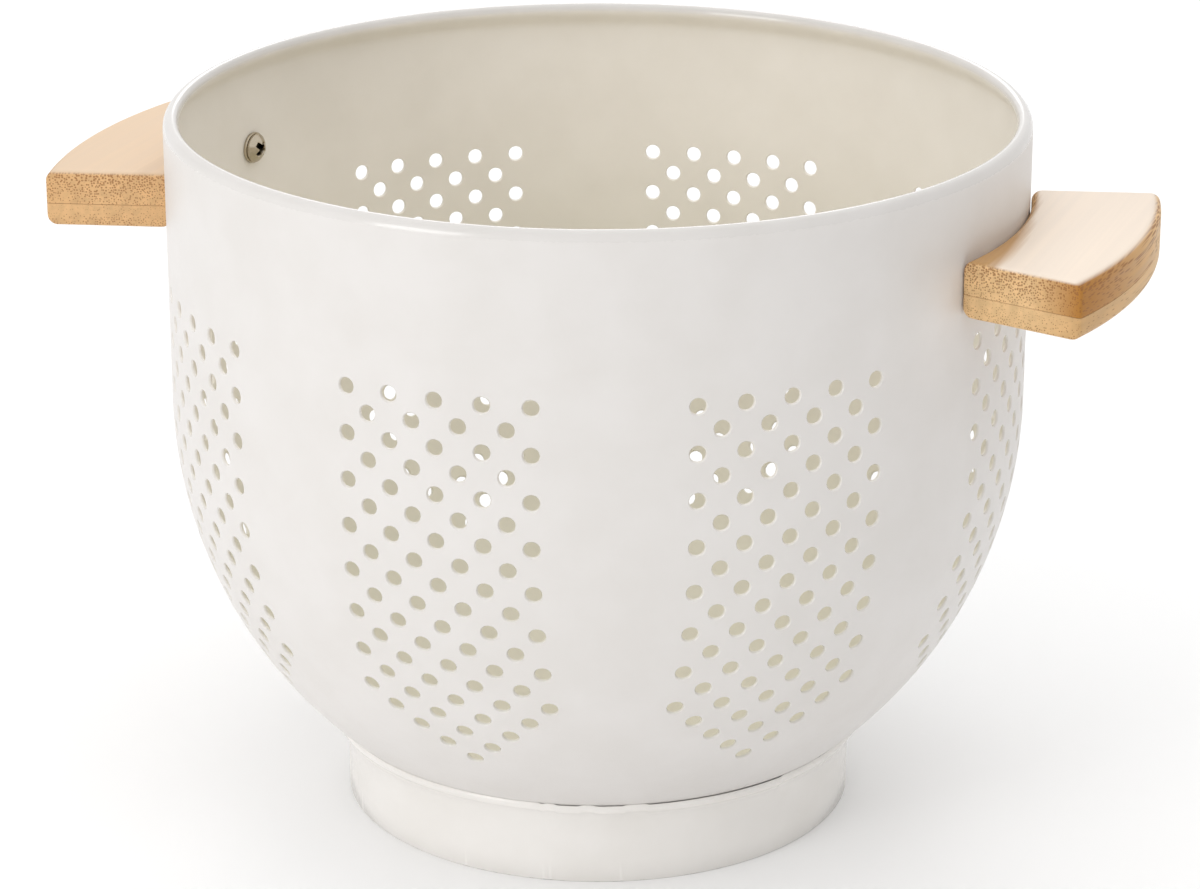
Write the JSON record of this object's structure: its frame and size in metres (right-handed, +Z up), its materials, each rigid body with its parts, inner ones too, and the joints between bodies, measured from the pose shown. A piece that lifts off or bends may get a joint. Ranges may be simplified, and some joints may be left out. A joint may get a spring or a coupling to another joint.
{
  "type": "colander",
  "caption": "Deep round colander with a perforated coated steel bowl, a ring foot and two bamboo side handles screwed on from inside.",
  "frame": {"origin": "centre of the foot ring's underside, on the table", "axes": "+Z up along the bowl's axis, +X towards a handle, +Y along the handles' length"},
  "size_m": [0.2856, 0.22, 0.1857],
  "materials": {
    "bowl_coating": "satin",
    "foot_coating": "gloss",
    "bamboo": "satin",
    "fastener_steel": "brushed"
  },
  "bodies": {
    "root": {"bowl": "bowl_coating", "foot_ring": "foot_coating", "right_handle_upper_ply": "bamboo", "right_handle_lower_ply": "bamboo", "left_handle_upper_ply": "bamboo", "left_handle_lower_ply": "bamboo", "right_front_washer": "fastener_steel", "right_front_screw": "fastener_steel", "right_back_washer": "fastener_steel", "right_back_screw": "fastener_steel", "left_front_washer": "fastener_steel", "left_front_screw": "fastener_steel", "left_back_washer": "fastener_steel", "left_back_screw": "fastener_steel"}
  },
  "joints": []
}
